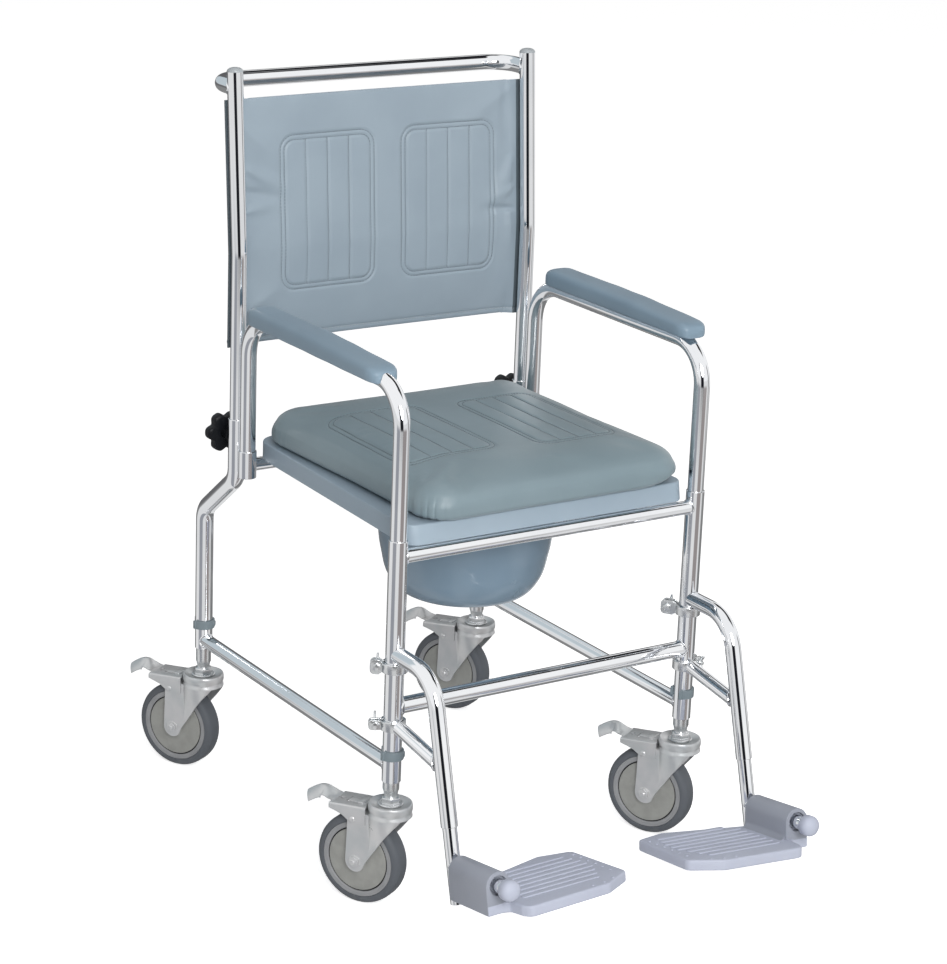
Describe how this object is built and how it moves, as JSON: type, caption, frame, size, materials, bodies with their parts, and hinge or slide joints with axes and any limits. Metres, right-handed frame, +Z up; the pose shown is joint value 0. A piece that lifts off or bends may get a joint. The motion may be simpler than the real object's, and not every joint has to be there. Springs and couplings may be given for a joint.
{
  "type": "wheeled commode chair",
  "caption": "Tube-framed commode chair on braked swivel casters, with lift-out back and arms, padded seat over a commode seat and a pan, and swing-away footrests.",
  "frame": {"origin": "on the floor, under the middle of the whole chair's box", "axes": "+Z up, -Y the way the chair faces, +X to the right seen from its front"},
  "size_m": [0.5763, 0.9522, 1.0432],
  "materials": {
    "chrome_tube": "bright plated tube",
    "zinc_steel": "bright zinc-plated pressed steel",
    "back_vinyl": "fine-grained vinyl, stitched",
    "seat_vinyl": "satin vinyl over foam, stitched",
    "arm_vinyl": "soft moulded foam skin",
    "seat_plastic": "satin moulded plastic",
    "pan_plastic": "satin moulded plastic",
    "foot_plastic": "matt moulded plastic",
    "clip_plastic": "matt moulded plastic",
    "knob_plastic": "matt moulded plastic",
    "tyre_rubber": "smooth grey tread",
    "hub_plastic": "matt moulded plastic"
  },
  "bodies": {
    "frame": {"front_leg_left": "chrome_tube", "front_leg_right": "chrome_tube", "rear_leg_left": "chrome_tube", "rear_leg_right": "chrome_tube", "side_rail_left": "chrome_tube", "side_rail_right": "chrome_tube", "pan_rail_left": "zinc_steel", "pan_rail_right": "zinc_steel", "front_seat_rail": "chrome_tube", "rear_seat_rail": "chrome_tube", "front_cross_tube": "chrome_tube", "front_left_height_clip": "clip_plastic", "front_right_height_clip": "clip_plastic", "rear_left_height_clip": "clip_plastic", "rear_right_height_clip": "clip_plastic"},
    "back": {"back_post_left": "chrome_tube", "back_post_right": "chrome_tube", "push_bar": "chrome_tube", "back_sling": "back_vinyl"},
    "commode_seat": {"commode_seat": "seat_plastic"},
    "cushion": {"seat_cushion": "seat_vinyl"},
    "pan": {"pan": "pan_plastic"},
    "arm_left": {"arm_tube_left": "chrome_tube", "arm_pad_left": "arm_vinyl"},
    "star_knob_left": {"star_knob_left": "knob_plastic"},
    "footrest_left": {"hanger_left": "chrome_tube", "clamp_upper_left": "zinc_steel", "clamp_lower_left": "zinc_steel"},
    "foot_tube_left": {"foot_tube_left": "chrome_tube", "end_cap_left": "foot_plastic"},
    "footplate_left": {"footplate_left": "foot_plastic"},
    "arm_right": {"arm_tube_right": "chrome_tube", "arm_pad_right": "arm_vinyl"},
    "star_knob_right": {"star_knob_right": "knob_plastic"},
    "footrest_right": {"hanger_right": "chrome_tube", "clamp_upper_right": "zinc_steel", "clamp_lower_right": "zinc_steel"},
    "foot_tube_right": {"foot_tube_right": "chrome_tube", "end_cap_right": "foot_plastic"},
    "footplate_right": {"footplate_right": "foot_plastic"},
    "front_left_stem": {"front_left_caster_stem": "zinc_steel"},
    "front_left_fork": {"front_left_caster_fork": "zinc_steel"},
    "front_left_wheel": {"front_left_caster_tyre": "tyre_rubber", "front_left_caster_hub": "hub_plastic"},
    "front_left_pedal": {"front_left_brake_pedal": "zinc_steel"},
    "front_right_stem": {"front_right_caster_stem": "zinc_steel"},
    "front_right_fork": {"front_right_caster_fork": "zinc_steel"},
    "front_right_wheel": {"front_right_caster_tyre": "tyre_rubber", "front_right_caster_hub": "hub_plastic"},
    "front_right_pedal": {"front_right_brake_pedal": "zinc_steel"},
    "rear_left_stem": {"rear_left_caster_stem": "zinc_steel"},
    "rear_left_fork": {"rear_left_caster_fork": "zinc_steel"},
    "rear_left_wheel": {"rear_left_caster_tyre": "tyre_rubber", "rear_left_caster_hub": "hub_plastic"},
    "rear_left_pedal": {"rear_left_brake_pedal": "zinc_steel"},
    "rear_right_stem": {"rear_right_caster_stem": "zinc_steel"},
    "rear_right_fork": {"rear_right_caster_fork": "zinc_steel"},
    "rear_right_wheel": {"rear_right_caster_tyre": "tyre_rubber", "rear_right_caster_hub": "hub_plastic"},
    "rear_right_pedal": {"rear_right_brake_pedal": "zinc_steel"}
  },
  "joints": [
    {"name": "back_lift", "type": "slide", "parent": "frame", "child": "back", "axis": [0, 0, 1], "range_m": [0, 0.08]},
    {"name": "commode_seat_lift", "type": "slide", "parent": "frame", "child": "commode_seat", "axis": [0, 0, 1], "range_m": [0, 0.1]},
    {"name": "cushion_lift", "type": "slide", "parent": "commode_seat", "child": "cushion", "axis": [0, 0, 1], "range_m": [0, 0.15]},
    {"name": "pan_slide", "type": "slide", "parent": "frame", "child": "pan", "axis": [0, 1, 0], "range_m": [0, 0.3]},
    {"name": "arm_left_lift", "type": "slide", "parent": "frame", "child": "arm_left", "axis": [0, 0, 1], "range_m": [0, 0.1]},
    {"name": "star_knob_left_turn", "type": "hinge", "parent": "frame", "child": "star_knob_left", "pos_m": [-0.21311, 0.25892, 0.53], "axis": [0, 1, 0], "range_deg": [0, 360]},
    {"name": "footrest_left_swing", "type": "hinge", "parent": "frame", "child": "footrest_left", "pos_m": [-0.21311, -0.17108, 0.3], "axis": [0, 0, -1], "range_deg": [0, 100]},
    {"name": "foot_tube_left_slide", "type": "slide", "parent": "footrest_left", "child": "foot_tube_left", "axis": [0, 0.2607, 0.9654], "range_m": [-0.04, 0.03]},
    {"name": "footplate_left_flip", "type": "hinge", "parent": "foot_tube_left", "child": "footplate_left", "pos_m": [-0.21311, -0.3272, 0.12147], "axis": [0, -0.9877, 0.1564], "range_deg": [0, 90]},
    {"name": "arm_right_lift", "type": "slide", "parent": "frame", "child": "arm_right", "axis": [0, 0, 1], "range_m": [0, 0.1]},
    {"name": "star_knob_right_turn", "type": "hinge", "parent": "frame", "child": "star_knob_right", "pos_m": [0.25829, 0.25892, 0.53], "axis": [0, 1, 0], "range_deg": [0, 360]},
    {"name": "footrest_right_swing", "type": "hinge", "parent": "frame", "child": "footrest_right", "pos_m": [0.25829, -0.17108, 0.3], "axis": [0, 0, 1], "range_deg": [0, 100]},
    {"name": "foot_tube_right_slide", "type": "slide", "parent": "footrest_right", "child": "foot_tube_right", "axis": [0, 0.2607, 0.9654], "range_m": [-0.04, 0.03]},
    {"name": "footplate_right_flip", "type": "hinge", "parent": "foot_tube_right", "child": "footplate_right", "pos_m": [0.25829, -0.33056, 0.10901], "axis": [0, 0.9877, -0.1564], "range_deg": [0, 90]},
    {"name": "front_left_stem_slide", "type": "slide", "parent": "frame", "child": "front_left_stem", "axis": [0, 0, -1], "range_m": [0, 0.075]},
    {"name": "front_left_swivel", "type": "hinge", "parent": "front_left_stem", "child": "front_left_fork", "pos_m": [-0.21311, -0.17108, 0.15], "axis": [0, 0, 1], "continuous": true},
    {"name": "front_left_wheel_spin", "type": "hinge", "parent": "front_left_fork", "child": "front_left_wheel", "pos_m": [-0.23201, -0.13583, 0.0625], "axis": [0.8813, 0.4726, 0], "continuous": true},
    {"name": "front_left_brake", "type": "hinge", "parent": "front_left_fork", "child": "front_left_pedal", "pos_m": [-0.23437, -0.13142, 0.122], "axis": [-0.8813, -0.4726, 0], "range_deg": [0, 12]},
    {"name": "front_right_stem_slide", "type": "slide", "parent": "frame", "child": "front_right_stem", "axis": [0, 0, -1], "range_m": [0, 0.075]},
    {"name": "front_right_swivel", "type": "hinge", "parent": "front_right_stem", "child": "front_right_fork", "pos_m": [0.25829, -0.17108, 0.15], "axis": [0, 0, 1], "continuous": true},
    {"name": "front_right_wheel_spin", "type": "hinge", "parent": "front_right_fork", "child": "front_right_wheel", "pos_m": [0.23939, -0.13583, 0.0625], "axis": [0.8813, 0.4726, 0], "continuous": true},
    {"name": "front_right_brake", "type": "hinge", "parent": "front_right_fork", "child": "front_right_pedal", "pos_m": [0.23703, -0.13142, 0.122], "axis": [-0.8813, -0.4726, 0], "range_deg": [0, 12]},
    {"name": "rear_left_stem_slide", "type": "slide", "parent": "frame", "child": "rear_left_stem", "axis": [0, 0, -1], "range_m": [0, 0.075]},
    {"name": "rear_left_swivel", "type": "hinge", "parent": "rear_left_stem", "child": "rear_left_fork", "pos_m": [-0.21311, 0.35192, 0.15], "axis": [0, 0, 1], "continuous": true},
    {"name": "rear_left_wheel_spin", "type": "hinge", "parent": "rear_left_fork", "child": "rear_left_wheel", "pos_m": [-0.23201, 0.38717, 0.0625], "axis": [0.8813, 0.4726, 0], "continuous": true},
    {"name": "rear_left_brake", "type": "hinge", "parent": "rear_left_fork", "child": "rear_left_pedal", "pos_m": [-0.23437, 0.39158, 0.122], "axis": [-0.8813, -0.4726, 0], "range_deg": [0, 12]},
    {"name": "rear_right_stem_slide", "type": "slide", "parent": "frame", "child": "rear_right_stem", "axis": [0, 0, -1], "range_m": [0, 0.075]},
    {"name": "rear_right_swivel", "type": "hinge", "parent": "rear_right_stem", "child": "rear_right_fork", "pos_m": [0.25829, 0.35192, 0.15], "axis": [0, 0, 1], "continuous": true},
    {"name": "rear_right_wheel_spin", "type": "hinge", "parent": "rear_right_fork", "child": "rear_right_wheel", "pos_m": [0.23939, 0.38717, 0.0625], "axis": [0.8813, 0.4726, 0], "continuous": true},
    {"name": "rear_right_brake", "type": "hinge", "parent": "rear_right_fork", "child": "rear_right_pedal", "pos_m": [0.23703, 0.39158, 0.122], "axis": [-0.8813, -0.4726, 0], "range_deg": [0, 12]}
  ]
}
